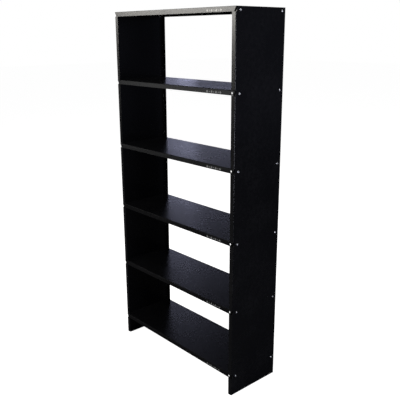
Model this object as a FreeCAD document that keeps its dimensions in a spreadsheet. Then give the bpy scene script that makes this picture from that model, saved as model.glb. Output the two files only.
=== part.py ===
"""A six-shelf open display rack in folded sheet steel, 1.8 m tall.

Frame: millimetres, +Z up, X across the width, the open front faces -Y.
The origin is on the floor, at the middle of the footprint.
"""
import os

import FreeCAD, Part
import Sketcher

SHELVES = ("shelf_1_top", "shelf_2", "shelf_3", "shelf_4", "shelf_5", "shelf_6_bottom")
SIDES = (("left", -1), ("right", 1))
ENDS = (("front", -1), ("rear", 1))

SIZES = {
    # the whole rack
    "height": 1800,
    "width": 870,
    "depth": 305,
    "shelf_pitch": 337,
    # folded sheet
    "side_sheet": 1.5,
    "side_flange": 22,
    "side_bend": 2.5,
    "side_relief": 4,
    "side_relief_slot": 2,
    "side_fold_rise": 6,
    "shelf_sheet": 1.2,
    "shelf_bend": 2.2,
    # the shelf trays
    "lip_height": 22,
    "lip_mitre": 11,
    "rear_lip_height": 20,
    "end_flange_height": 28,
    "corner_tab": 15,
    "corner_relief": 4,
    # where a shelf's lip passes through the side's front flange
    "notch_depth": 5,
    "fit_gap": 0.5,
    # the keyhole near each end of a lip
    "keyhole_inset": 17.7,
    "keyhole_drop": 11.5,
    "keyhole_bore": 8,
    "keyhole_slot": 4,
    "keyhole_length": 10,
    # the stiffener under each shelf
    "stiffener_height": 15,
    "stiffener_crown": 30,
    "stiffener_foot": 14,
    "stiffener_inset": 45,
    # M6 bolts, washers and nuts
    "bolt_front_inset": 27,
    "bolt_rear_inset": 22,
    "bolt_drop": 15.5,
    "bolt_shank": 6,
    "bolt_clearance": 0.6,
    "bolt_head": 12,
    "bolt_head_height": 3.3,
    "bolt_head_edge": 1.1,
    "bolt_length": 12,
    "bolt_socket": 4,
    "bolt_socket_depth": 1.8,
    "washer_outer": 12,
    "washer_thick": 1.6,
    "nut_flats": 10,
    "nut_thick": 5,
    # the plastic glides that the side panels stand on
    "glide_foot": 1,
    "glide_disc": 16,
    "glide_stem": 6,
    "glide_stem_height": 6,
    "glide_barb": 7,
    "glide_barb_height": 1.5,
    "glide_hole": 6.4,
    "glide_side_inset": 12,
    "glide_end_inset": 26,
}

doc = FreeCAD.newDocument("display_rack")
sheet = doc.addObject("Spreadsheet::Sheet", "Sizes")
for row, (alias, value) in enumerate(SIZES.items(), start=1):
    sheet.set(f"A{row}", alias)
    sheet.set(f"B{row}", str(value))
    sheet.setAlias(f"B{row}", alias)
doc.recompute()

parts = []


def formula(text):
    """Turn the plain names in a formula into references to the sheet's cells."""
    words = text.replace("(", "( ").replace(")", " )").split()
    return " ".join(f"Sizes.{word}" if word in SIZES else word for word in words)


def number(text):
    """Return the present value of a formula in the sheet's names."""
    value = sheet.evalExpression(formula(text))
    return float(getattr(value, "Value", value))


def new_body(label):
    """Start the body of one sub-part; its label names its file."""
    body = doc.addObject("PartDesign::Body", label)
    body.Label = label
    body.AllowCompound = True
    parts.append(body)
    return body


def new_sketch(body, name, plane, offset="0"):
    """Attach a sketch to one of the body's own origin planes, moved along its normal."""
    origin_plane = next(item for item in body.Origin.OriginFeatures if item.Role == plane)
    sketch = body.newObject("Sketcher::SketchObject", name)
    sketch.AttachmentSupport = [(origin_plane, "")]
    sketch.MapMode = "FlatFace"
    sketch.setExpression("AttachmentOffset.Base.z", formula(offset))
    return sketch


def outline(sketch, corners):
    """Draw a closed outline whose corners are dimensioned from the sketch's origin."""
    first = sketch.GeometryCount
    points = [FreeCAD.Vector(number(across), number(up), 0) for across, up in corners]
    for start, end in zip(points, points[1:] + points[:1]):
        sketch.addGeometry(Part.LineSegment(start, end), False)
    for index, (across, up) in enumerate(corners):
        line = first + index
        after = first + (index + 1) % len(corners)
        sketch.addConstraint(Sketcher.Constraint("Coincident", line, 2, after, 1))
        for kind, size in (("DistanceX", across), ("DistanceY", up)):
            place = sketch.addConstraint(Sketcher.Constraint(kind, -1, 1, line, 1, number(size)))
            sketch.setExpression(f"Constraints[{place}]", formula(size))


def rectangle(sketch, left, right, low, high):
    """Draw a rectangle from four formulas."""
    outline(sketch, [(left, low), (right, low), (right, high), (left, high)])


def circle(sketch, across, up, diameter):
    """Draw a circle whose centre and diameter are formulas."""
    centre = FreeCAD.Vector(number(across), number(up), 0)
    ring = sketch.addGeometry(Part.Circle(centre, FreeCAD.Vector(0, 0, 1), number(diameter) / 2), False)
    for kind, size in (("DistanceX", across), ("DistanceY", up)):
        place = sketch.addConstraint(Sketcher.Constraint(kind, -1, 1, ring, 3, number(size)))
        sketch.setExpression(f"Constraints[{place}]", formula(size))
    place = sketch.addConstraint(Sketcher.Constraint("Diameter", ring, number(diameter)))
    sketch.setExpression(f"Constraints[{place}]", formula(diameter))


def pad(body, name, sketch, length, symmetric=False, reverse=False):
    """Add material from a sketch."""
    feature = body.newObject("PartDesign::Pad", name)
    feature.Profile = sketch
    feature.setExpression("Length", formula(length))
    feature.SideType = "Symmetric" if symmetric else "One side"
    feature.Reversed = reverse
    sketch.Visibility = False
    doc.recompute()
    return feature


def cut(body, name, sketch, length=None, symmetric=False, reverse=False):
    """Remove material from a sketch, through everything when no length is given."""
    before = body.Shape.Volume
    feature = body.newObject("PartDesign::Pocket", name)
    feature.Profile = sketch
    feature.SideType = "Symmetric" if symmetric else "One side"
    feature.Reversed = reverse
    if length is None:
        feature.Type = "ThroughAll"
    else:
        feature.setExpression("Length", formula(length))
    sketch.Visibility = False
    doc.recompute()
    if body.Shape.Volume >= before:
        raise RuntimeError(f"{body.Label}: {name} removed nothing")
    return feature


def origin_item(body, role):
    """Return one of the body's own origin axes or planes."""
    return next(item for item in body.Origin.OriginFeatures if item.Role == role)


def pattern(body, name, features, axis, length, count, reverse=False):
    """Repeat features in a straight row, or the whole body when none are given."""
    feature = body.newObject("PartDesign::LinearPattern", name)
    feature.TransformMode = "Features" if features else "Whole shape"
    feature.Originals = features
    feature.Direction = (origin_item(body, axis), [""])
    feature.Reversed = reverse
    feature.Occurrences = count
    feature.setExpression("Length", formula(length))
    body.Tip = feature
    doc.recompute()
    return feature


def mirror(body, name, features):
    """Repeat features, or the whole body, on the other side of the rack's middle."""
    feature = body.newObject("PartDesign::Mirrored", name)
    feature.TransformMode = "Features" if features else "Whole shape"
    feature.Originals = features
    feature.MirrorPlane = (origin_item(body, "YZ_Plane"), [""])
    body.Tip = feature
    doc.recompute()
    return feature


def edges_at(shape, axis, places, shortest=0):
    """Name the straight edges along an axis that pass through the given places."""
    others = [index for index in range(3) if index != axis]
    names = []
    for number_of_edge, edge in enumerate(shape.Edges, start=1):
        run = edge.Vertexes[-1].Point - edge.Vertexes[0].Point
        if run.Length <= shortest or abs(abs(run[axis]) - run.Length) > 1e-6:
            continue
        point = edge.Vertexes[0].Point
        for place in places:
            if all(abs(point[index] - value) < 1e-4 for index, value in zip(others, place)):
                names.append(f"Edge{number_of_edge}")
    return names


def fillet(body, name, base, edges, radius):
    """Round edges of a feature."""
    feature = body.newObject("PartDesign::Fillet", name)
    feature.Base = (base, edges)
    feature.setExpression("Radius", formula(radius))
    doc.recompute()
    return feature


def raise_to_shelf(body, index):
    """Place a body modelled at z = 0 under the top face of a shelf."""
    body.setExpression("Placement.Base.z", formula(f"height - {index} * shelf_pitch"))


# Side panels: a full-height web with its front, rear and bottom edges folded inward. The
# front fold is notched at every shelf, so that the shelf's lip lies flush with it. The
# bottom fold stops short of the corners at a relief slot, and holds the glides.

FRONT = "- depth / 2"
REAR = "depth / 2"


def side_panel(name, side):
    body = new_body(f"{name}_side_panel")
    outer = f"{side} * width / 2"
    inner = f"{side} * (width / 2 - side_sheet)"
    flange_tip = f"{side} * (width / 2 - side_flange)"
    section = new_sketch(body, f"{name}_section", "XY_Plane", "glide_foot")
    outline(section, [
        (flange_tip, FRONT),
        (outer, FRONT),
        (outer, REAR),
        (flange_tip, REAR),
        (flange_tip, "depth / 2 - side_sheet"),
        (inner, "depth / 2 - side_sheet"),
        (inner, "- depth / 2 + side_sheet"),
        (flange_tip, "- depth / 2 + side_sheet"),
    ])
    channel = pad(body, f"{name}_channel", section, "height - glide_foot")
    outer_corners = [(number(outer), number(FRONT)), (number(outer), number(REAR))]
    inner_corners = [(number(inner), number("- depth / 2 + side_sheet")),
                     (number(inner), number("depth / 2 - side_sheet"))]
    bends = fillet(body, f"{name}_outer_bends", channel,
                   edges_at(channel.Shape, 2, outer_corners), "side_bend")
    fillet(body, f"{name}_inner_bends", bends,
           edges_at(bends.Shape, 2, inner_corners), "side_bend - side_sheet")

    notch_sketch = new_sketch(body, f"{name}_notch_sketch", "YZ_Plane")
    rectangle(notch_sketch, "- depth / 2 - fit_gap", "- depth / 2 + notch_depth",
              "height - lip_height - fit_gap", "height + fit_gap")
    notch = cut(body, f"{name}_notch", notch_sketch, reverse=side > 0)
    span = f"{len(SHELVES) - 1} * shelf_pitch"
    pattern(body, f"{name}_notches", [notch], "Z_Axis", span, len(SHELVES), reverse=True)

    relief_sketch = new_sketch(body, f"{name}_relief_sketch", "YZ_Plane")
    rectangle(relief_sketch, "- depth / 2 + side_relief", "depth / 2 - side_relief",
              "0", "glide_foot + side_fold_rise")
    cut(body, f"{name}_bottom_relief", relief_sketch, reverse=side > 0)
    fold_sketch = new_sketch(body, f"{name}_fold_sketch", "XZ_Plane")
    fold_top = "glide_foot + side_fold_rise"
    outline(fold_sketch, [
        (flange_tip, "glide_foot"),
        (outer, "glide_foot"),
        (outer, fold_top),
        (inner, fold_top),
        (inner, "glide_foot + side_sheet"),
        (flange_tip, "glide_foot + side_sheet"),
    ])
    fold = pad(body, f"{name}_bottom_fold", fold_sketch,
               "depth - 2 * side_relief - 2 * side_relief_slot", symmetric=True)
    fold_edge = [(number(outer), number("glide_foot"))]
    inner_edge = [(number(inner), number("glide_foot + side_sheet"))]
    outside = fillet(body, f"{name}_fold_outside", fold,
                     edges_at(fold.Shape, 1, fold_edge, number("depth / 2")), "side_bend")
    fillet(body, f"{name}_fold_inside", outside,
           edges_at(outside.Shape, 1, inner_edge, number("depth / 2")), "side_bend - side_sheet")
    glide_sketch = new_sketch(body, f"{name}_glide_hole_sketch", "XY_Plane",
                              "glide_foot + side_sheet + fit_gap")
    for end_name, end in ENDS:
        circle(glide_sketch, f"{side} * (width / 2 - glide_side_inset)",
               f"{end} * (depth / 2 - glide_end_inset)", "glide_hole")
    cut(body, f"{name}_glide_holes", glide_sketch, "side_sheet + 2 * fit_gap")

    hole_sketch = new_sketch(body, f"{name}_bolt_hole_sketch", "YZ_Plane")
    for place in ("- depth / 2 + bolt_front_inset", "depth / 2 - bolt_rear_inset"):
        circle(hole_sketch, place, "height - bolt_drop", "bolt_shank + bolt_clearance")
    holes = cut(body, f"{name}_bolt_holes_top", hole_sketch, reverse=side > 0)
    pattern(body, f"{name}_bolt_holes", [holes], "Z_Axis", span, len(SHELVES), reverse=True)


# Shelves: a plate with a front lip, a rear lip and two end flanges, all folded down. The
# front lip is as wide as the rack and its ends are mitred. The end flanges hang deeper than
# the lip. A tab folded in from each of them closes the corner behind the lip, and the keyholes
# pass through lip and tab alike.


def shelf(label, index):
    body = new_body(label)
    section = new_sketch(body, f"{label}_section", "YZ_Plane")
    rear_face = "depth / 2 - side_sheet - fit_gap"
    outline(section, [
        (FRONT, "- lip_height"),
        (FRONT, "0"),
        (rear_face, "0"),
        (rear_face, "- rear_lip_height"),
        (f"{rear_face} - shelf_sheet", "- rear_lip_height"),
        (f"{rear_face} - shelf_sheet", "- shelf_sheet"),
        ("- depth / 2 + shelf_sheet", "- shelf_sheet"),
        ("- depth / 2 + shelf_sheet", "- lip_height"),
    ])
    tray = pad(body, f"{label}_tray", section, "width", symmetric=True)
    outer_corners = [(number(FRONT), 0), (number(rear_face), 0)]
    inner_corners = [(number("- depth / 2 + shelf_sheet"), number("- shelf_sheet")),
                     (number(f"{rear_face} - shelf_sheet"), number("- shelf_sheet"))]
    bends = fillet(body, f"{label}_outer_bends", tray,
                   edges_at(tray.Shape, 0, outer_corners), "shelf_bend")
    fillet(body, f"{label}_inner_bends", bends,
           edges_at(bends.Shape, 0, inner_corners), "shelf_bend - shelf_sheet")

    relief_sketch = new_sketch(body, f"{label}_relief_sketch", "XY_Plane", "fit_gap")
    for side in (-1, 1):
        rectangle(relief_sketch, f"{side} * (width / 2 - side_sheet)", f"{side} * (width / 2 + fit_gap)",
                  "- depth / 2 + corner_relief", "depth / 2")
    cut(body, f"{label}_end_relief", relief_sketch)

    mitre_sketch = new_sketch(body, f"{label}_mitre_sketch", "XZ_Plane", "depth / 2 + fit_gap")
    for side in (-1, 1):
        outline(mitre_sketch, [
            (f"{side} * width / 2", "- shelf_bend"),
            (f"{side} * (width / 2 - lip_mitre)", "- lip_height"),
            (f"{side} * (width / 2 - lip_mitre)", "- lip_height - fit_gap"),
            (f"{side} * (width / 2 + fit_gap)", "- lip_height - fit_gap"),
            (f"{side} * (width / 2 + fit_gap)", "- shelf_bend"),
        ])
    cut(body, f"{label}_mitres", mitre_sketch, "corner_relief + fit_gap")

    flange_sketch = new_sketch(body, f"{label}_flange_sketch", "YZ_Plane", "width / 2 - side_sheet")
    rectangle(flange_sketch, "- depth / 2 + notch_depth + fit_gap",
              f"{rear_face} - shelf_bend - shelf_sheet",
              "- end_flange_height", "- shelf_sheet / 2")
    flange = pad(body, f"{label}_end_flange", flange_sketch, "shelf_sheet", reverse=True)
    tab_sketch = new_sketch(body, f"{label}_tab_sketch", "XZ_Plane", "depth / 2 - notch_depth - fit_gap")
    rectangle(tab_sketch, "width / 2 - side_sheet - corner_tab", "width / 2 - side_sheet",
              "- end_flange_height", "- shelf_sheet / 2")
    tab = pad(body, f"{label}_corner_tab", tab_sketch, "shelf_sheet", reverse=True)
    mirror(body, f"{label}_left_end", [flange, tab])

    hole_sketch = new_sketch(body, f"{label}_bolt_hole_sketch", "YZ_Plane")
    for place in ("- depth / 2 + bolt_front_inset", "depth / 2 - bolt_rear_inset"):
        circle(hole_sketch, place, "- bolt_drop", "bolt_shank + bolt_clearance")
    cut(body, f"{label}_bolt_holes", hole_sketch, symmetric=True)

    if index > 0:
        keyhole_sketch = new_sketch(body, f"{label}_keyhole_sketch", "XZ_Plane", "depth / 2 + fit_gap")
        slot_sketch = new_sketch(body, f"{label}_slot_sketch", "XZ_Plane", "depth / 2 + fit_gap")
        for side in (-1, 1):
            centre = f"{side} * (width / 2 - keyhole_inset)"
            circle(keyhole_sketch, centre, "- keyhole_drop", "keyhole_bore")
            rectangle(slot_sketch, f"{centre} - keyhole_slot / 2", f"{centre} + keyhole_slot / 2",
                      "- keyhole_drop - keyhole_length + keyhole_bore / 2", "- keyhole_drop")
        through_tab = "notch_depth + shelf_sheet + 3 * fit_gap"
        cut(body, f"{label}_keyholes", keyhole_sketch, through_tab)
        cut(body, f"{label}_keyhole_slots", slot_sketch, through_tab)
    raise_to_shelf(body, index)


# Stiffeners: a hat channel spot-welded under each plate, along its middle.


def stiffener(index):
    label = f"stiffener_{index + 1}"
    body = new_body(label)
    section = new_sketch(body, f"{label}_section", "YZ_Plane")
    top = "- shelf_sheet"
    base = "- shelf_sheet - stiffener_height"
    foot = "stiffener_crown / 2 + stiffener_foot"
    outline(section, [
        (f"- ( {foot} )", top),
        ("- ( stiffener_crown / 2 - shelf_sheet )", top),
        ("- ( stiffener_crown / 2 - shelf_sheet )", f"{base} + shelf_sheet"),
        ("stiffener_crown / 2 - shelf_sheet", f"{base} + shelf_sheet"),
        ("stiffener_crown / 2 - shelf_sheet", top),
        (foot, top),
        (foot, f"{top} - shelf_sheet"),
        ("stiffener_crown / 2", f"{top} - shelf_sheet"),
        ("stiffener_crown / 2", base),
        ("- stiffener_crown / 2", base),
        ("- stiffener_crown / 2", f"{top} - shelf_sheet"),
        (f"- ( {foot} )", f"{top} - shelf_sheet"),
    ])
    pad(body, f"{label}_hat", section, "width - 2 * stiffener_inset", symmetric=True)
    raise_to_shelf(body, index)


# Fasteners: four M6 bolts to a shelf, through the side panels into the end flanges, each
# with a washer and a nut inside. Each group is made at its front right corner, repeated
# at the rear and mirrored to the left.


BOLT_ACROSS = "- depth / 2 + bolt_front_inset"
BOLT_UP = "- bolt_drop"
FLANGE_INNER = "width / 2 - side_sheet - shelf_sheet"


def fastener_sketch(body, name, distance):
    """Start a sketch square to the bolt's axis, at a distance from the rack's middle."""
    return new_sketch(body, f"{body.Label}_{name}_sketch", "YZ_Plane", distance)


def hexagon(sketch, flats):
    """Draw a hexagon round the bolt's axis from its distance across flats."""
    slope = f"{flats} / 2 / sqrt(3)"
    outline(sketch, [
        (f"{BOLT_ACROSS} - {flats} / 2", f"{BOLT_UP} - {slope}"),
        (BOLT_ACROSS, f"{BOLT_UP} - 2 * {slope}"),
        (f"{BOLT_ACROSS} + {flats} / 2", f"{BOLT_UP} - {slope}"),
        (f"{BOLT_ACROSS} + {flats} / 2", f"{BOLT_UP} + {slope}"),
        (BOLT_ACROSS, f"{BOLT_UP} + 2 * {slope}"),
        (f"{BOLT_ACROSS} - {flats} / 2", f"{BOLT_UP} + {slope}"),
    ])


def spread_to_corners(body, index):
    """Repeat a fastener at the shelf's other three corners and lift the group to the shelf."""
    pattern(body, f"{body.Label}_rear", [], "Y_Axis",
            "depth - bolt_front_inset - bolt_rear_inset", len(ENDS))
    mirror(body, f"{body.Label}_left", [])
    raise_to_shelf(body, index)


def bolts(index):
    body = new_body(f"bolts_{index + 1}")
    head_sketch = fastener_sketch(body, "head", "width / 2")
    circle(head_sketch, BOLT_ACROSS, BOLT_UP, "bolt_head")
    head = pad(body, f"{body.Label}_head", head_sketch, "bolt_head_height")
    rim_at = number("width / 2 + bolt_head_height")
    rim = [f"Edge{place}" for place, edge in enumerate(head.Shape.Edges, start=1)
           if abs(edge.BoundBox.XMin - rim_at) < 1e-4]
    fillet(body, f"{body.Label}_crown", head, rim, "bolt_head_height - bolt_head_edge")
    shank_sketch = fastener_sketch(body, "shank", "width / 2")
    circle(shank_sketch, BOLT_ACROSS, BOLT_UP, "bolt_shank")
    pad(body, f"{body.Label}_shank", shank_sketch, "bolt_length", reverse=True)
    socket_sketch = fastener_sketch(body, "socket", "width / 2 + bolt_head_height")
    hexagon(socket_sketch, "bolt_socket")
    cut(body, f"{body.Label}_socket", socket_sketch, "bolt_socket_depth")
    spread_to_corners(body, index)


def washers(index):
    body = new_body(f"washers_{index + 1}")
    ring_sketch = fastener_sketch(body, "ring", FLANGE_INNER)
    circle(ring_sketch, BOLT_ACROSS, BOLT_UP, "washer_outer")
    circle(ring_sketch, BOLT_ACROSS, BOLT_UP, "bolt_shank + bolt_clearance")
    pad(body, f"{body.Label}_ring", ring_sketch, "washer_thick", reverse=True)
    spread_to_corners(body, index)


def nuts(index):
    body = new_body(f"nuts_{index + 1}")
    hex_sketch = fastener_sketch(body, "hex", f"{FLANGE_INNER} - washer_thick")
    hexagon(hex_sketch, "nut_flats")
    circle(hex_sketch, BOLT_ACROSS, BOLT_UP, "bolt_shank")
    pad(body, f"{body.Label}_hex", hex_sketch, "nut_thick", reverse=True)
    spread_to_corners(body, index)


# Glides: a plastic foot near each end of a side panel's bottom fold, with a barbed stem
# pushed up through the fold.


def glide(name, side, end_name, end):
    body = new_body(f"glide_{end_name}_{name}")
    across = f"{side} * (width / 2 - glide_side_inset)"
    along = f"{end} * (depth / 2 - glide_end_inset)"
    for piece, base, diameter, tall in (
            ("disc", "0", "glide_disc", "glide_foot"),
            ("stem", "glide_foot / 2", "glide_stem", "glide_stem_height + glide_foot / 2"),
            ("barb", "glide_foot + side_sheet + fit_gap", "glide_barb", "glide_barb_height")):
        sketch = new_sketch(body, f"{body.Label}_{piece}_sketch", "XY_Plane", base)
        circle(sketch, across, along, diameter)
        pad(body, f"{body.Label}_{piece}", sketch, tall)


for name, side in SIDES:
    side_panel(name, side)
    for end_name, end in ENDS:
        glide(name, side, end_name, end)
for index, label in enumerate(SHELVES):
    shelf(label, index)
    stiffener(index)
    bolts(index)
    washers(index)
    nuts(index)
doc.recompute()

for item in doc.Objects:
    if "Invalid" in item.State or "Error" in item.State:
        raise RuntimeError(f"{item.Label} did not build: {item.State}")
for body in parts:
    if body.Shape.isNull() or not body.Shape.isValid():
        raise RuntimeError(f"{body.Label} has no valid shape")

os.makedirs("parts", exist_ok=True)
for body in parts:
    body.Shape.exportStep(f"parts/{body.Label}.step")
    size = body.Shape.BoundBox
    print(f"{body.Label}: {len(body.Shape.Solids)} solids, "
          f"{size.XLength:.1f} x {size.YLength:.1f} x {size.ZLength:.1f}, top at {size.ZMax:.1f}")
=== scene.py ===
# %% [markdown]
# # A six-shelf open display rack in black folded steel
# The rack itself comes ready made from the CAD model: folded side panels, folded shelves,
# stiffeners and plastic feet. This lesson gives it its finish and the small made things that
# CAD only blocks in: turned screws, washers and nuts, spot welds, and a small printed
# ornament on each shelf's lip. Everything is in metres, in the CAD model's own frame.

# %% Load the frame
import math

import bmesh
import bpy
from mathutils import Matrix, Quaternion, Vector


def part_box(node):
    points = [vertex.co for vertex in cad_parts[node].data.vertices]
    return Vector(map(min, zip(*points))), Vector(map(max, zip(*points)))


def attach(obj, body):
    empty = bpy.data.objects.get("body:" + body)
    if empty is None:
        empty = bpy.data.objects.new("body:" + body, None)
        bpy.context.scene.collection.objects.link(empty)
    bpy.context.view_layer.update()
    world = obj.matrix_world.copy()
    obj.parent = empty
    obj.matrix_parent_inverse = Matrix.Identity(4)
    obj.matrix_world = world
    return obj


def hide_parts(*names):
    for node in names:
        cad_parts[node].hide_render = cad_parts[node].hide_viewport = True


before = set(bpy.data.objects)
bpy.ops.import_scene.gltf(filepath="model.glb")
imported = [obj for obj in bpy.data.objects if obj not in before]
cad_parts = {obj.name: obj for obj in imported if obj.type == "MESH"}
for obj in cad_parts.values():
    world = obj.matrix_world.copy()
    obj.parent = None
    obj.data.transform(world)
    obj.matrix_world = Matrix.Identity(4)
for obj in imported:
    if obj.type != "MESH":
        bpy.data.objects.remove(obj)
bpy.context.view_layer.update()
scene = bpy.context.scene
scene.view_settings.view_transform = "Standard"

# %% [markdown]
# ## Reading the rack's sizes
# A piece that has to sit on a shelf should ask the shelf where it is. The few sizes below are
# read from the CAD nodes' own boxes, so that the screws and prints follow if the rack changes.

# %% Where the shelves and panels are
SHELVES = ("shelf_1_top", "shelf_2", "shelf_3", "shelf_4", "shelf_5", "shelf_6_bottom")
shelf_tops = [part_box(name)[1].z for name in SHELVES]
panel_low, panel_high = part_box("right_side_panel")
front_y = panel_low.y
half_width = panel_high.x
rack_height = panel_high.z
lip_height = shelf_tops[1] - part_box(SHELVES[1])[0].z
print("shelf tops:", [round(top, 3) for top in shelf_tops], "lip height:", round(lip_height, 4))


# %% [markdown]
# ## The camera
# The rack is seen from its front right, from a little below its top. The camera stands on the
# floor plan by its distance and bearing, and looks slightly down.

# %% Camera
CAMERA_PLACE = Vector((2.1796, -1.8948, 1.6885))
CAMERA_BEARING = math.radians(48.47)
CAMERA_DROP = math.radians(15.86)
CAMERA_ROLL = math.radians(-0.23)
CAMERA_LENS = 52.42


def make_camera():
    """Create the camera and make it the scene's own."""
    data = bpy.data.cameras.new("studio_camera")
    data.sensor_width = 36.0
    data.lens = CAMERA_LENS
    camera = bpy.data.objects.new("studio_camera", data)
    scene.collection.objects.link(camera)
    camera.location = CAMERA_PLACE
    aim = Vector((-math.sin(CAMERA_BEARING) * math.cos(CAMERA_DROP),
                  math.cos(CAMERA_BEARING) * math.cos(CAMERA_DROP),
                  -math.sin(CAMERA_DROP)))
    camera.rotation_mode = "QUATERNION"
    camera.rotation_quaternion = aim.to_track_quat("-Z", "Y") @ Quaternion((0, 0, 1), CAMERA_ROLL)
    scene.camera = camera
    print("camera stands", round(CAMERA_PLACE.xy.length, 2), "m from the rack's middle")


make_camera()

# %% [markdown]
# ## The room
# A black rack shows little of its own colour: what is seen on it is mostly the room mirrored in
# the paint. To the camera the floor and the backdrop are plain and pale. The light that they
# send on to the rack is kept low, or its blacks would turn grey, so both ask the Light Path
# node whether the ray comes from the camera.

# %% Backdrop
BACKDROP_LIGHT = 0.01


def make_backdrop():
    """White to the camera, dim to everything else."""
    world = bpy.data.worlds.new("backdrop")
    scene.world = world
    world.use_nodes = True
    nodes = world.node_tree.nodes
    nodes.clear()
    path = nodes.new("ShaderNodeLightPath")
    seen = nodes.new("ShaderNodeBackground")
    seen.inputs["Color"].default_value = (1.0, 1.0, 1.0, 1.0)
    lit = nodes.new("ShaderNodeBackground")
    lit.inputs["Color"].default_value = (0.85, 0.9, 1.0, 1.0)
    lit.inputs["Strength"].default_value = BACKDROP_LIGHT
    mix = nodes.new("ShaderNodeMixShader")
    out = nodes.new("ShaderNodeOutputWorld")
    link = world.node_tree.links.new
    link(path.outputs["Is Camera Ray"], mix.inputs["Fac"])
    link(lit.outputs["Background"], mix.inputs[1])
    link(seen.outputs["Background"], mix.inputs[2])
    link(mix.outputs["Shader"], out.inputs["Surface"])


make_backdrop()
print("backdrop lights the rack with strength", BACKDROP_LIGHT)

# %% Floor
FLOOR_SIZE = 60.0
FLOOR_GLOW = 0.985


def make_floor():
    """A wide flat floor under the rack."""
    mesh = bpy.data.meshes.new("studio_floor")
    reach = FLOOR_SIZE / 2
    corners_of_floor = [
        (-reach, -reach, 0), (reach, -reach, 0), (reach, reach, 0), (-reach, reach, 0)]
    mesh.from_pydata(corners_of_floor, [], [(0, 1, 2, 3)])
    floor = bpy.data.objects.new("studio_floor", mesh)
    scene.collection.objects.link(floor)
    paint = bpy.data.materials.new("floor_paint")
    paint.use_nodes = True
    nodes = paint.node_tree.nodes
    nodes.clear()
    path = nodes.new("ShaderNodeLightPath")
    pale = nodes.new("ShaderNodeBsdfDiffuse")
    pale.inputs["Color"].default_value = (0.5, 0.5, 0.5, 1.0)
    glow = nodes.new("ShaderNodeEmission")
    glow.inputs["Color"].default_value = (1.0, 1.0, 1.0, 1.0)
    glow.inputs["Strength"].default_value = FLOOR_GLOW
    seen = nodes.new("ShaderNodeAddShader")
    dark = nodes.new("ShaderNodeBsdfDiffuse")
    dark.inputs["Color"].default_value = (0.05, 0.05, 0.055, 1.0)
    mix = nodes.new("ShaderNodeMixShader")
    out = nodes.new("ShaderNodeOutputMaterial")
    link = paint.node_tree.links.new
    link(pale.outputs["BSDF"], seen.inputs[0])
    link(glow.outputs["Emission"], seen.inputs[1])
    link(path.outputs["Is Camera Ray"], mix.inputs["Fac"])
    link(dark.outputs["BSDF"], mix.inputs[1])
    link(seen.outputs["Shader"], mix.inputs[2])
    link(mix.outputs["Shader"], out.inputs["Surface"])
    mesh.materials.append(paint)


make_floor()
print("floor is", FLOOR_SIZE, "m wide")

# %% [markdown]
# ## Soft panels
# The lights are placed as a photographer would for a dark, glossy thing: where it mirrors them.
# One large panel at the front left is what the shelf lips and folded edges mirror near the top.
# Two small strips behind at the left stand at the height where the shelf plates mirror them at
# a grazing angle. Panels at the back right, right and overhead lift the side panel and the screw
# heads. A dim low panel is what the lower lips mirror, and a small one lights the prints.

# %% Soft lights
BLUE_GREY = (0.85, 0.88, 1.25)
WARM = (1.0, 0.975, 0.92)
COOL = (0.95, 0.97, 1.12)
WHITE = (1.0, 1.0, 1.0)


def soft_panel(name, place, aim, width, height, power, tint):
    """Hang a rectangular soft light that looks at a point."""
    light = bpy.data.lights.new(name, "AREA")
    light.shape = "RECTANGLE"
    light.size = width
    light.size_y = height
    light.energy = power
    light.color = tint
    lamp = bpy.data.objects.new(name, light)
    scene.collection.objects.link(lamp)
    lamp.location = place
    lamp.rotation_mode = "QUATERNION"
    lamp.rotation_quaternion = (Vector(aim) - Vector(place)).to_track_quat("-Z", "Y")
    lamp.visible_camera = False
    return lamp


key = soft_panel("front_left_panel", (-1.97, -2.86, 2.87), (0.0, 0.0, 1.9), 3.2, 2.2, 224, WARM)
low_key = soft_panel(
    "front_low_panel", (-1.97, -2.86, 1.03), (0.0, 0.0, 1.0), 3.2, 0.95, 8.0, WHITE)
soft_panel("back_left_strip", (-3.60, 2.56, 1.80), (0.0, 0.0, 1.0), 0.9, 0.30, 1.42, BLUE_GREY)
soft_panel("back_strip", (-3.16, 3.09, 1.85), (0.0, 0.0, 1.0), 0.9, 0.20, 0.80, BLUE_GREY)
soft_panel("back_right_panel", (3.6, 3.0, 1.6), (0.4, 0.0, 1.4), 3.0, 2.4, 1.15, BLUE_GREY)
soft_panel("right_panel", (4.5, -0.2, 0.9), (0.4, 0.0, 0.8), 1.4, 1.6, 80, COOL)
soft_panel("overhead_panel", (0.6, -0.4, 4.2), (0.0, 0.0, 0.0), 3.5, 3.5, 50, WHITE)
print_lamp = soft_panel("print_panel", (2.6, -2.6, 3.4), (0.3, 0.0, 1.2), 1.0, 1.0, 75, WHITE)

# %% [markdown]
# ## Keeping a light off the shelves
# The top lip and the folded edges need a bright panel to mirror. Seen from behind, the shelf
# plates would mirror it too, far more strongly because the view grazes them, and turn white. A
# photographer would put up a flag. Light linking does the same: the bright panel skips the
# five lower shelves, and a dim low panel and a small lamp for the prints reach only those.

# %% Light linking


def limit_light(lamp, names, state):
    """Let a light reach only some CAD nodes (INCLUDE), or all but those (EXCLUDE)."""
    group = bpy.data.collections.new(lamp.name + "_nodes")
    for name in names:
        group.objects.link(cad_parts[name])
    for entry in group.collection_objects:
        entry.light_linking.link_state = state
    lamp.light_linking.receiver_collection = group


LOWER_SHELVES = SHELVES[1:]
limit_light(key, LOWER_SHELVES, "EXCLUDE")
limit_light(print_lamp, LOWER_SHELVES, "INCLUDE")
limit_light(low_key, LOWER_SHELVES, "INCLUDE")
print("lights limited on", len(LOWER_SHELVES), "shelves")

# %% [markdown]
# ## Shared effects
# Two effects are used by more than one finish, so each is a node group, built once. The first
# is the orange peel of baked powder: shallow rounded hills a few millimetres across with a
# finer grain on top. The second is dust and rubbing: slow clouds that make a patch duller.
# Both read Object coordinates, so a pattern stays put on its piece.

# %% Starting a node group


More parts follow.
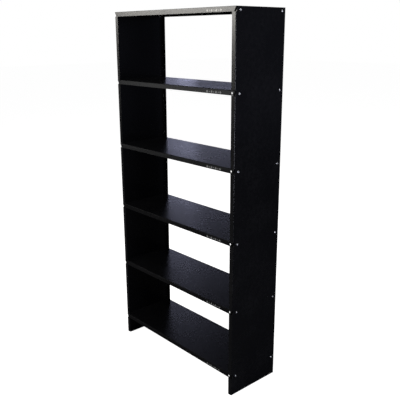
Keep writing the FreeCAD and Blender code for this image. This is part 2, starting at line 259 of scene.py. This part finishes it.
def new_group(name, inputs, outputs):
    """Start a shader node group from its sockets' names, kinds and values."""
    group = bpy.data.node_groups.new(name, "ShaderNodeTree")
    for label, kind, value in inputs:
        socket = group.interface.new_socket(name=label, in_out="INPUT", socket_type=kind)
        if value is not None:
            socket.default_value = value
    for label, kind in outputs:
        group.interface.new_socket(name=label, in_out="OUTPUT", socket_type=kind)
    return group, group.nodes.new("NodeGroupInput"), group.nodes.new("NodeGroupOutput")


def math_node(tree, operation, *values, clamp=False):
    """Add a Math node whose inputs are numbers or sockets, and give its result."""
    node = tree.nodes.new("ShaderNodeMath")
    node.operation = operation
    node.use_clamp = clamp
    for socket, value in zip(node.inputs, values):
        if isinstance(value, (int, float)):
            socket.default_value = value
        else:
            tree.links.new(value, socket)
    return node.outputs["Value"]


# %% Powder grain


def powder_grain_group():
    """The height of baked powder: hills with a finer grain on top."""
    group, given, made = new_group("powder_grain", [
        ("Vector", "NodeSocketVector", None),
        ("Peel Scale", "NodeSocketFloat", 260.0),
        ("Grain Scale", "NodeSocketFloat", 1400.0),
        ("Grain Share", "NodeSocketFloat", 0.25),
    ], [("Height", "NodeSocketFloat")])
    link = group.links.new
    peel = group.nodes.new("ShaderNodeTexNoise")
    peel.inputs["Detail"].default_value = 1.0
    grain = group.nodes.new("ShaderNodeTexNoise")
    grain.inputs["Detail"].default_value = 2.0
    mix = group.nodes.new("ShaderNodeMix")
    link(given.outputs["Vector"], peel.inputs["Vector"])
    link(given.outputs["Vector"], grain.inputs["Vector"])
    link(given.outputs["Peel Scale"], peel.inputs["Scale"])
    link(given.outputs["Grain Scale"], grain.inputs["Scale"])
    link(given.outputs["Grain Share"], mix.inputs["Factor"])
    link(peel.outputs["Fac"], mix.inputs["A"])
    link(grain.outputs["Fac"], mix.inputs["B"])
    link(mix.outputs["Result"], made.inputs["Height"])
    return group


powder_grain = powder_grain_group()
print("powder grain:", len(powder_grain.nodes), "nodes")

# %% Handling marks
MASK_FULL = 0.5
MASK_START = 0.34
COVERAGE_REACH = -0.3


def handling_group():
    """A mask of dusty and rubbed patches, from 0 to 1."""
    group, given, made = new_group("handling", [
        ("Vector", "NodeSocketVector", None),
        ("Patch Scale", "NodeSocketFloat", 6.0),
        ("Streak Scale", "NodeSocketFloat", 60.0),
        ("Coverage", "NodeSocketFloat", 0.5),
    ], [("Mask", "NodeSocketFloat")])
    link = group.links.new
    patch = group.nodes.new("ShaderNodeTexNoise")
    patch.inputs["Detail"].default_value = 4.0
    streak = group.nodes.new("ShaderNodeTexNoise")
    streak.inputs["Detail"].default_value = 3.0
    streak.inputs["Distortion"].default_value = 0.6
    link(given.outputs["Vector"], patch.inputs["Vector"])
    link(given.outputs["Vector"], streak.inputs["Vector"])
    link(given.outputs["Patch Scale"], patch.inputs["Scale"])
    link(given.outputs["Streak Scale"], streak.inputs["Scale"])
    both = math_node(group, "MULTIPLY", patch.outputs["Fac"], streak.outputs["Fac"])
    start = math_node(group, "MULTIPLY_ADD", given.outputs["Coverage"], COVERAGE_REACH, MASK_START)
    ramp = group.nodes.new("ShaderNodeMapRange")
    ramp.inputs["From Max"].default_value = MASK_FULL
    ramp.inputs["To Min"].default_value = 0.0
    ramp.inputs["To Max"].default_value = 1.0
    link(both, ramp.inputs["Value"])
    link(start, ramp.inputs["From Min"])
    link(ramp.outputs["Result"], made.inputs["Mask"])
    return group


handling = handling_group()
print("handling marks:", len(handling.nodes), "nodes")

# %% [markdown]
# ## The print on the lips
# Each lip carries a small pale screen print near its right end. Here it's a plain row of seven
# diamonds, large and small in turn. It's drawn in the material, because ink has no thickness to
# speak of: the height below the shelf's top repeats with the shelf pitch, so one formula prints
# all six lips, and the depth keeps the ink on their front faces.

# %% Node group for the row of diamonds
DIAMONDS = 7
ODD_IS_SMALLER_BY = 0.45
SOFT_EDGE = 0.0003


def diamond_row_group():
    """A mask of seven diamonds in a row on the front face of every lip."""
    group, given, made = new_group("diamond_row", [
        ("Vector", "NodeSocketVector", None),
        ("Top", "NodeSocketFloat", rack_height),
        ("Pitch", "NodeSocketFloat", shelf_tops[0] - shelf_tops[1]),
        ("Middle", "NodeSocketFloat", lip_height / 2),
        ("Face", "NodeSocketFloat", front_y + 0.0006),
        ("First", "NodeSocketFloat", half_width - 0.172),
        ("Step", "NodeSocketFloat", 0.014),
        ("Size", "NodeSocketFloat", 0.0062),
    ], [("Mask", "NodeSocketFloat")])
    link = group.links.new

    place = group.nodes.new("ShaderNodeSeparateXYZ")
    link(given.outputs["Vector"], place.inputs["Vector"])
    from_first = math_node(group, "SUBTRACT", place.outputs["X"], given.outputs["First"])
    along = math_node(group, "DIVIDE", from_first, given.outputs["Step"])
    not_before = math_node(group, "MAXIMUM", math_node(group, "ROUND", along), 0.0)
    nearest = math_node(group, "MINIMUM", not_before, DIAMONDS - 1.0)
    steps_off = math_node(group, "ABSOLUTE", math_node(group, "SUBTRACT", along, nearest))
    across = math_node(group, "MULTIPLY", steps_off, given.outputs["Step"])
    from_top = math_node(group, "SUBTRACT", given.outputs["Top"], place.outputs["Z"])
    below = math_node(group, "MODULO", from_top, given.outputs["Pitch"])
    up = math_node(group, "ABSOLUTE", math_node(group, "SUBTRACT", below, given.outputs["Middle"]))
    odd = math_node(group, "MODULO", nearest, 2.0)
    share = math_node(group, "MULTIPLY_ADD", odd, -ODD_IS_SMALLER_BY, 1.0)
    size = math_node(group, "MULTIPLY", given.outputs["Size"], share)
    depth_in = math_node(group, "SUBTRACT", size, math_node(group, "ADD", across, up))
    inside = math_node(group, "DIVIDE", depth_in, SOFT_EDGE, clamp=True)
    on_face = math_node(group, "LESS_THAN", place.outputs["Y"], given.outputs["Face"])
    link(math_node(group, "MULTIPLY", inside, on_face), made.inputs["Mask"])
    return group


diamond_row = diamond_row_group()
print("print:", len(diamond_row.nodes), "nodes")

# %% [markdown]
# ## The black powder coat
# Powder paint is plastic: a dark base with a clear, slightly rough gloss. Its black isn't the
# same all over. Dust settles in patches, so the base is a touch lighter and duller there. The
# shelves and the panels needn't come from one batch of paint, so each gets its own values.

# %% Starting a material


def start_material(name):
    """A new material, its tree, its Principled shader and a Texture Coordinate node."""
    material = bpy.data.materials.new(name)
    material.use_nodes = True
    tree = material.node_tree
    shader = tree.nodes["Principled BSDF"]
    place = tree.nodes.new("ShaderNodeTexCoord")
    return material, tree, shader, place


def place_group(tree, group, place, **values):
    """Put a node group in a material, fed with Object coordinates."""
    node = tree.nodes.new("ShaderNodeGroup")
    node.node_tree = group
    tree.links.new(place.outputs["Object"], node.inputs["Vector"])
    for label, value in values.items():
        node.inputs[label.replace("_", " ")].default_value = value
    return node


# %% Blending with a mask, and bumps


def blend_colours(tree, mask, clean, marked):
    """A colour that goes from clean to marked with a mask; clean may be a colour or a socket."""
    mix = tree.nodes.new("ShaderNodeMix")
    mix.data_type = "RGBA"
    tree.links.new(mask, mix.inputs[0])
    if isinstance(clean, tuple):
        mix.inputs[6].default_value = (*clean, 1.0)
    else:
        tree.links.new(clean, mix.inputs[6])
    mix.inputs[7].default_value = (*marked, 1.0)
    return mix.outputs[2]


def blend_values(tree, mask, clean, marked):
    """A value that goes from clean to marked with a mask; clean may be a number or a socket."""
    mix = tree.nodes.new("ShaderNodeMapRange")
    if isinstance(clean, float):
        mix.inputs["To Min"].default_value = clean
    else:
        tree.links.new(clean, mix.inputs["To Min"])
    mix.inputs["To Max"].default_value = marked
    tree.links.new(mask, mix.inputs["Value"])
    return mix.outputs["Result"]


def add_bump(tree, shader, height, strength, depth):
    """Feed a height to the shader's normal."""
    bump = tree.nodes.new("ShaderNodeBump")
    bump.inputs["Strength"].default_value = strength
    bump.inputs["Distance"].default_value = depth
    tree.links.new(height, bump.inputs["Height"])
    tree.links.new(bump.outputs["Normal"], shader.inputs["Normal"])


# %% Powder coat materials
PALE_INK = (0.42, 0.42, 0.41)
INK_ROUGHNESS = 0.45


def powder_coat(name, black, dust, smooth, dull, coverage, ink=None):
    """Semi-gloss black powder paint with peel, grain, light dust and, if given, a print."""
    material, tree, shader, place = start_material(name)
    grain = place_group(tree, powder_grain, place, Peel_Scale=260.0, Grain_Scale=1400.0)
    marks = place_group(tree, handling, place, Coverage=coverage)
    colour = blend_colours(tree, marks.outputs["Mask"], black, dust)
    gloss = blend_values(tree, marks.outputs["Mask"], smooth, dull)
    if ink:
        row = place_group(tree, diamond_row, place)
        colour = blend_colours(tree, row.outputs["Mask"], colour, ink)
        gloss = blend_values(tree, row.outputs["Mask"], gloss, INK_ROUGHNESS)
    tree.links.new(colour, shader.inputs["Base Color"])
    tree.links.new(gloss, shader.inputs["Roughness"])
    add_bump(tree, shader, grain.outputs["Height"], 0.12, 0.0003)
    return material


side_paint = powder_coat("side_powder_coat", black=(0.0022, 0.0023, 0.0029),
                         dust=(0.0055, 0.0055, 0.0065), smooth=0.26, dull=0.31, coverage=0.5)
shelf_paint = powder_coat("shelf_powder_coat", black=(0.0026, 0.0026, 0.0031),
                          dust=(0.0065, 0.0065, 0.007), smooth=0.27, dull=0.32, coverage=0.6,
                          ink=PALE_INK)
print("paints:", side_paint.name, "and", shelf_paint.name)

# %% Painting the panels, shelves and stiffeners


def finish_node(name, material):
    """Give a CAD node its finish, in its own material slots."""
    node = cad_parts[name]
    node.data.materials.clear()
    node.data.materials.append(material)


for panel in ("left_side_panel", "right_side_panel"):
    finish_node(panel, side_paint)
for number, name in enumerate(SHELVES, start=1):
    finish_node(name, shelf_paint)
    finish_node(f"stiffener_{number}", shelf_paint)
print("painted 2 panels,", len(SHELVES), "shelves and their stiffeners")

# %% [markdown]
# ## Screws, washers and nuts
# CAD blocks these in as plain cylinders and prisms. The real ones are bought parts in bright
# zinc: a turned domed head with a hexagon socket, a rolled thread, a stamped washer and a nut
# with its corners turned off. Each is lofted once, ring by ring, along its own axis. A Geometry
# Nodes tree then stands a copy at the four corners of all six shelves, and turns each one by a
# different amount, because no two screws stop at the same angle.

# %% Lofting rings round an axis
RING = 48


def ring_radii(diameter=None, flats=None):
    """Radii round a ring: a circle of a diameter, or a hexagon of a width across flats."""
    if flats is None:
        return [diameter / 2] * RING
    radii = []
    for step in range(RING):
        angle = (2 * math.pi * step / RING) % (math.pi / 3) - math.pi / 6
        radii.append(flats / 2 / math.cos(angle))
    return radii


def loft(name, rings, closed):
    """Skin rings of (place along X, radii); closed joins the last ring to the first."""
    shape = bmesh.new()
    loops = []
    for along, radii in rings:
        loop = []
        for step, radius in enumerate(radii):
            angle = 2 * math.pi * step / RING
            depth = along[step] if isinstance(along, list) else along
            around = (radius * math.cos(angle), radius * math.sin(angle))
            loop.append(shape.verts.new((depth, *around)))
        loops.append(loop)
    followers = loops[1:] + loops[:1] if closed else loops[1:]
    for first, second in zip(loops, followers):
        for step in range(RING):
            after = (step + 1) % RING
            shape.faces.new((first[step], first[after], second[after], second[step]))
    if not closed:
        shape.faces.new(loops[0])
        shape.faces.new(loops[-1])
    bmesh.ops.recalc_face_normals(shape, faces=shape.faces)
    mesh = bpy.data.meshes.new(name)
    shape.to_mesh(mesh)
    shape.free()
    return mesh


# %% The sizes that the hardware takes from the rack
bolts_low, bolts_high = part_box("bolts_1")
washer_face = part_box("washers_1")[1].x
nut_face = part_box("nuts_1")[1].x
HEAD = 0.012
HEAD_HEIGHT = bolts_high.x - half_width
SHANK = 0.006
SHANK_LENGTH = 0.012
SOCKET = 0.004
WASHER = 0.012
WASHER_BORE = 0.0066
WASHER_THICK = washer_face - nut_face
NUT_FLATS = 0.010
NUT_THICK = 0.005
screw_front = bolts_low.y + HEAD / 2
screw_rear = bolts_high.y - HEAD / 2
screw_drop = rack_height - (bolts_high.z - HEAD / 2)
shelf_pitch = shelf_tops[0] - shelf_tops[1]
print("screws at y", round(screw_front, 4), round(screw_rear, 4), "drop", round(screw_drop, 4),
      "washer", round(WASHER_THICK, 4))

# %% One screw
TURNS = 8
THREAD_PITCH = 0.001
THREAD_START = -SHANK_LENGTH + 0.0010
ROOT = SHANK * 0.84
PLAIN_SHANK = SHANK * 0.96
HEAD_RIM = 0.0008
HEAD_FLAT = 0.0052
DOME_STEPS = 7
SOCKET_DEPTH = 0.0018


def screw_rings():
    """The rings of a button-head screw along X: underside of the head at 0, dome towards +X."""
    rings = [(-SHANK_LENGTH, ring_radii(SHANK * 0.70)), (-SHANK_LENGTH + 0.0008, ring_radii(ROOT))]
    for turn in range(TURNS):
        base = THREAD_START + turn * THREAD_PITCH
        rings += [(base, ring_radii(ROOT)), (base + THREAD_PITCH / 2, ring_radii(SHANK))]
    rings += [(THREAD_START + TURNS * THREAD_PITCH, ring_radii(PLAIN_SHANK)),
              (0.0, ring_radii(PLAIN_SHANK)), (0.0, ring_radii(HEAD * 0.97)),
              (0.00015, ring_radii(HEAD)), (HEAD_RIM, ring_radii(HEAD))]
    for step in range(1, DOME_STEPS + 1):
        angle = math.pi / 2 * step / DOME_STEPS
        radius = HEAD_FLAT / 2 + (HEAD - HEAD_FLAT) / 2 * math.cos(angle) ** 0.9
        dome_height = HEAD_RIM + (HEAD_HEIGHT - HEAD_RIM) * math.sin(angle)
        rings.append((dome_height, ring_radii(2 * radius)))
    rings += [(HEAD_HEIGHT - 0.00002, ring_radii(flats=SOCKET * 1.06)),
              (HEAD_HEIGHT - 0.0002, ring_radii(flats=SOCKET)),
              (HEAD_HEIGHT - SOCKET_DEPTH, ring_radii(flats=SOCKET)),
              (HEAD_HEIGHT - SOCKET_DEPTH - 0.0004, ring_radii(0.0006))]
    return rings


screw = loft("one_screw", screw_rings(), closed=False)
print("one screw has", len(screw.polygons), "faces")

# %% One washer
WASHER_EDGE = 0.0003


def washer_rings():
    """The rings of a stamped washer, from 0 towards -X, its rim rounded over on one side."""
    return [
        (0.0, ring_radii(WASHER_BORE + WASHER_EDGE)), (0.0, ring_radii(WASHER - 2 * WASHER_EDGE)),
        (-WASHER_EDGE, ring_radii(WASHER)), (-WASHER_THICK + 0.0001, ring_radii(WASHER)),
        (-WASHER_THICK, ring_radii(WASHER - 0.0002)), (-WASHER_THICK, ring_radii(WASHER_BORE)),
        (-WASHER_EDGE, ring_radii(WASHER_BORE))]


washer = loft("one_washer", washer_rings(), closed=True)
print("one washer has", len(washer.polygons), "faces")

# %% One nut
NUT_ROUND_FACE = NUT_FLATS * 0.96
NUT_MOUTH = SHANK + 0.0008
NUT_COUNTERSINK = 0.0004


def nut_rings():
    """The rings of a hexagon nut, from 0 towards -X, its corners turned off at both faces."""
    corner = [(radius - NUT_ROUND_FACE / 2) * 0.55 for radius in ring_radii(flats=NUT_FLATS)]
    return [
        (0.0, ring_radii(NUT_MOUTH)), (0.0, ring_radii(NUT_ROUND_FACE)),
        ([-cut for cut in corner], ring_radii(flats=NUT_FLATS)),
        ([-NUT_THICK + cut for cut in corner], ring_radii(flats=NUT_FLATS)),
        (-NUT_THICK, ring_radii(NUT_ROUND_FACE)), (-NUT_THICK, ring_radii(NUT_MOUTH)),
        (-NUT_THICK + NUT_COUNTERSINK, ring_radii(SHANK)), (-NUT_COUNTERSINK, ring_radii(SHANK))]


nut = loft("one_nut", nut_rings(), closed=True)
print("one nut has", len(nut.polygons), "faces")

# %% [markdown]
# ## Standing copies at the shelf corners
# The tree starts with a line of points, one for each shelf, and carries it to four corners. The
# left ones are turned half a turn about the upright axis, so a head always faces outward, and
# nothing is mirrored. Its sizes are inputs: the rack can change and the tree still fits.

# %% Starting and ending a geometry tree


def node_tree(name, inputs):
    """Start a geometry tree from its inputs' names, kinds and values."""
    tree = bpy.data.node_groups.new(name, "GeometryNodeTree")
    tree.interface.new_socket(name="Geometry", in_out="INPUT", socket_type="NodeSocketGeometry")
    for label, kind, value in inputs:
        socket = tree.interface.new_socket(name=label, in_out="INPUT", socket_type=kind)
        if value is not None:
            socket.default_value = value
    tree.interface.new_socket(name="Geometry", in_out="OUTPUT", socket_type="NodeSocketGeometry")
    return tree, tree.nodes.new("NodeGroupInput"), tree.nodes.new("NodeGroupOutput")


def finish_tree(tree, given, made, instances):
    """End a tree: real geometry, then its finish."""
    real = tree.nodes.new("GeometryNodeRealizeInstances")
    paint = tree.nodes.new("GeometryNodeSetMaterial")
    tree.links.new(instances, real.inputs["Geometry"])
    tree.links.new(real.outputs["Geometry"], paint.inputs["Geometry"])
    tree.links.new(given.outputs["Finish"], paint.inputs["Material"])
    tree.links.new(paint.outputs["Geometry"], made.inputs["Geometry"])


# %% The corner tree
CORNERS = (("right", "Front"), ("right", "Rear"), ("left", "Front"), ("left", "Rear"))


def corner_tree():
    """Copies of one part at the four corners of every shelf."""
    tree, given, made = node_tree("shelf_corners", [
        ("Part", "NodeSocketObject", None), ("Finish", "NodeSocketMaterial", None),
        ("Shelf Count", "NodeSocketInt", 6), ("Shelf Pitch", "NodeSocketFloat", 0.337),
        ("Top", "NodeSocketFloat", 1.78), ("Across", "NodeSocketFloat", 0.435),
        ("Front", "NodeSocketFloat", -0.12), ("Rear", "NodeSocketFloat", 0.12),
        ("Turn", "NodeSocketFloat", 1.0), ("Seed", "NodeSocketInt", 7)])
    nodes, link = tree.nodes, tree.links.new
    step = nodes.new("ShaderNodeCombineXYZ")
    link(math_node(tree, "MULTIPLY", given.outputs["Shelf Pitch"], -1.0), step.inputs["Z"])
    line = nodes.new("GeometryNodeMeshLine")
    link(given.outputs["Shelf Count"], line.inputs["Count"])
    link(step.outputs["Vector"], line.inputs["Offset"])
    part = nodes.new("GeometryNodeObjectInfo")
    link(given.outputs["Part"], part.inputs["Object"])
    join = nodes.new("GeometryNodeJoinGeometry")
    flipped = math_node(tree, "MULTIPLY", given.outputs["Across"], -1.0)
    for corner, (side, end) in enumerate(CORNERS):
        place = nodes.new("ShaderNodeCombineXYZ")
        link(given.outputs["Across"] if side == "right" else flipped, place.inputs["X"])
        link(given.outputs[end], place.inputs["Y"])
        link(given.outputs["Top"], place.inputs["Z"])
        carry = nodes.new("GeometryNodeTransform")
        link(line.outputs["Mesh"], carry.inputs["Geometry"])
        link(place.outputs["Vector"], carry.inputs["Translation"])
        seed = math_node(tree, "ADD", given.outputs["Seed"], float(corner))
        chance = nodes.new("FunctionNodeRandomValue")
        chance.data_type = "FLOAT"
        link(given.outputs["Turn"], chance.inputs[3])
        link(seed, chance.inputs["Seed"])
        turn = nodes.new("ShaderNodeCombineXYZ")
        link(chance.outputs[1], turn.inputs["X"])
        turn.inputs["Z"].default_value = 0.0 if side == "right" else math.pi
        copies = nodes.new("GeometryNodeInstanceOnPoints")
        link(carry.outputs["Geometry"], copies.inputs["Points"])
        link(part.outputs["Geometry"], copies.inputs["Instance"])
        link(turn.outputs["Vector"], copies.inputs["Rotation"])
        link(copies.outputs["Instances"], join.inputs["Geometry"])
    finish_tree(tree, given, made, join.outputs["Geometry"])
    return tree


corners = corner_tree()
print("tree", corners.name, "has", len(corners.nodes), "nodes")

# %% Running a tree and keeping its result


def grow(name, tree, values):
    """Run a tree on an empty object, and keep the result as a plain mesh at the origin."""
    piece = bpy.data.objects.new(name, bpy.data.meshes.new(name + "_seed"))
    scene.collection.objects.link(piece)
    modifier = piece.modifiers.new("grow", "NODES")
    modifier.node_group = tree
    for item in tree.interface.items_tree:
        if item.item_type == "SOCKET" and item.in_out == "INPUT" and item.name in values:
            modifier[item.identifier] = values[item.name]
    bpy.context.view_layer.update()
    ready = piece.evaluated_get(bpy.context.evaluated_depsgraph_get())
    mesh = bpy.data.meshes.new_from_object(ready)
    mesh.name = name
    piece.modifiers.remove(modifier)
    piece.data = mesh
    print(name, "has", len(mesh.polygons), "faces")
    return piece


def smooth_by_angle(mesh, degrees):
    """Shade smooth, but keep an edge sharp where its faces turn by more than an angle."""
    shape = bmesh.new()
    shape.from_mesh(mesh)
    limit = math.radians(degrees)
    for face in shape.faces:
        face.smooth = True
    for edge in shape.edges:
        edge.smooth = not (len(edge.link_faces) == 2 and edge.calc_face_angle(0.0) > limit)
    shape.to_mesh(mesh)
    shape.free()


# %% [markdown]
# ## Bright zinc
# Zinc plate is a thin metal skin over steel. It's a pale, slightly bluish grey, never a mirror:
# tumbling in the plating barrel leaves it finely scuffed, and it clouds where it was handled.
# The metal is uniform, so only its colour and its roughness vary.

# %% Zinc material


def zinc_plate():
    """Barrel-plated zinc: pale metal with clouds and fine scuffs."""
    material, tree, shader, place = start_material("zinc_hardware")
    marks = place_group(tree, handling, place, Patch_Scale=90.0, Streak_Scale=700.0, Coverage=0.7)
    grain = place_group(tree, powder_grain, place, Peel_Scale=900.0, Grain_Scale=3500.0,
                        Grain_Share=0.6)
    mask = marks.outputs["Mask"]
    colour = blend_colours(tree, mask, (0.90, 0.91, 0.93), (0.74, 0.75, 0.74))
    shader.inputs["Metallic"].default_value = 1.0
    tree.links.new(colour, shader.inputs["Base Color"])
    tree.links.new(blend_values(tree, mask, 0.24, 0.42), shader.inputs["Roughness"])
    add_bump(tree, shader, grain.outputs["Height"], 0.15, 0.00005)
    return material


zinc = zinc_plate()
print("hardware finish:", zinc.name)

# %% Screws, washers and nuts in place
SHARP_ANGLE = 32
HEXAGON_TURN = math.radians(60)
WHOLE_TURN = math.radians(360)


def stand_hardware(name, mesh, across, replaced, turn, seed):
    """Make one kind of hardware for the whole rack and let it stand for its CAD nodes."""
    smooth_by_angle(mesh, SHARP_ANGLE)
    single = bpy.data.objects.new(mesh.name, mesh)
    scene.collection.objects.link(single)
    piece = grow(name, corners, {
        "Part": single, "Finish": zinc, "Shelf Count": len(SHELVES), "Shelf Pitch": shelf_pitch,
        "Top": rack_height - screw_drop, "Across": across, "Front": screw_front,
        "Rear": screw_rear, "Turn": turn, "Seed": seed})
    bpy.data.objects.remove(single)
    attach(piece, "root")
    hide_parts(*[f"{replaced}_{number}" for number in range(1, len(SHELVES) + 1)])


stand_hardware("socket_screws", screw, half_width, "bolts", HEXAGON_TURN, seed=3)
stand_hardware("flat_washers", washer, washer_face, "washers", WHOLE_TURN, seed=11)
stand_hardware("hex_nuts", nut, nut_face, "nuts", HEXAGON_TURN, seed=23)

# %% [markdown]
# ## Spot welds
# A stiffener is held under its plate by a row of spot welds along each foot. Each weld leaves a
# shallow round dimple with a raised rim, painted over. One dimple is lofted from rings, and a
# second small tree sets it out in two rows under every shelf.

# %% One weld dimple
WELD = 0.006
WELD_RIM = 0.0002


def dimple_mesh():
    """A weld mark seen from below: a low rim round a shallow dish."""
    rings = [(0.0, ring_radii(WELD)), (-WELD_RIM, ring_radii(WELD * 0.86)),
             (-WELD_RIM, ring_radii(WELD * 0.72)), (-WELD_RIM * 0.35, ring_radii(WELD * 0.5)),
             (-WELD_RIM * 0.3, ring_radii(WELD * 0.12))]
    mesh = loft("one_weld", rings, closed=False)
    mesh.transform(Quaternion((0, 1, 0), math.radians(-90)).to_matrix().to_4x4())
    return mesh


dimple = dimple_mesh()
print("one dimple has", len(dimple.polygons), "faces")

# %% The weld tree


def weld_tree():
    """Two rows of one part under every shelf."""
    tree, given, made = node_tree("weld_rows", [
        ("Part", "NodeSocketObject", None), ("Finish", "NodeSocketMaterial", None),
        ("Count", "NodeSocketInt", 9), ("Step", "NodeSocketVector", (0.09, 0.0, 0.0)),
        ("Start", "NodeSocketVector", (0.0, 0.0, 0.0)),
        ("Row Gap", "NodeSocketVector", (0.0, 0.05, 0.0)), ("Shelf Count", "NodeSocketInt", 6),
        ("Shelf Step", "NodeSocketVector", (0.0, 0.0, -0.337))])
    nodes, link = tree.nodes, tree.links.new
    source = nodes.new("GeometryNodeObjectInfo")
    link(given.outputs["Part"], source.inputs["Object"])
    shape = source.outputs["Geometry"]
    lines = (("Count", "Start", "Step"), (2, None, "Row Gap"), ("Shelf Count", None, "Shelf Step"))
    for count, start, step in lines:
        line = nodes.new("GeometryNodeMeshLine")
        if isinstance(count, int):
            line.inputs["Count"].default_value = count
        else:
            link(given.outputs[count], line.inputs["Count"])
        if start:
            link(given.outputs[start], line.inputs["Start Location"])
        link(given.outputs[step], line.inputs["Offset"])
        copies = nodes.new("GeometryNodeInstanceOnPoints")
        link(line.outputs["Mesh"], copies.inputs["Points"])
        link(shape, copies.inputs["Instance"])
        shape = copies.outputs["Instances"]
    finish_tree(tree, given, made, shape)
    return tree


welds = weld_tree()
print("tree", welds.name, "has", len(welds.nodes), "nodes")

# %% Weld marks in place
WELDS_IN_ROW = 9
WELD_ANGLE = 60
SHEET = 0.0012
FOOT_MIDDLE = 0.007
END_CLEAR = 0.02


def weld_marks():
    """The painted weld marks of all the stiffeners."""
    smooth_by_angle(dimple, WELD_ANGLE)
    single = bpy.data.objects.new("one_weld", dimple)
    scene.collection.objects.link(single)
    hat_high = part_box("stiffener_1")[1]
    reach = hat_high.x - END_CLEAR
    foot_across = hat_high.y - FOOT_MIDDLE
    foot_under = shelf_tops[0] - 2 * SHEET
    piece = grow("spot_welds", welds, {
        "Part": single, "Finish": shelf_paint, "Count": WELDS_IN_ROW,
        "Step": (2 * reach / (WELDS_IN_ROW - 1), 0.0, 0.0),
        "Start": (-reach, -foot_across, foot_under), "Row Gap": (0.0, 2 * foot_across, 0.0),
        "Shelf Count": len(SHELVES), "Shelf Step": (0.0, 0.0, -shelf_pitch)})
    bpy.data.objects.remove(single)
    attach(piece, "root")


weld_marks()

# %% [markdown]
# ## Nylon glides
# The rack stands on four small moulded discs. Moulded nylon is black but matt, with a fine
# spark-eroded skin, and it greys where it has slid over a floor.

# %% Nylon material and glides


def moulded_nylon():
    """Matt black nylon with a fine moulded skin and scuffs."""
    material, tree, shader, place = start_material("glide_plastic")
    marks = place_group(tree, handling, place, Patch_Scale=120.0, Streak_Scale=900.0, Coverage=0.9)
    grain = place_group(tree, powder_grain, place, Peel_Scale=1500.0, Grain_Scale=4000.0,
                        Grain_Share=0.5)
    mask = marks.outputs["Mask"]
    colour = blend_colours(tree, mask, (0.012, 0.012, 0.013), (0.05, 0.05, 0.05))
    tree.links.new(colour, shader.inputs["Base Color"])
    tree.links.new(blend_values(tree, mask, 0.55, 0.75), shader.inputs["Roughness"])
    add_bump(tree, shader, grain.outputs["Height"], 0.3, 0.0001)
    return material


nylon = moulded_nylon()
for end in ("front", "rear"):
    for side in ("left", "right"):
        finish_node(f"glide_{end}_{side}", nylon)
print("glides finished in", nylon.name)
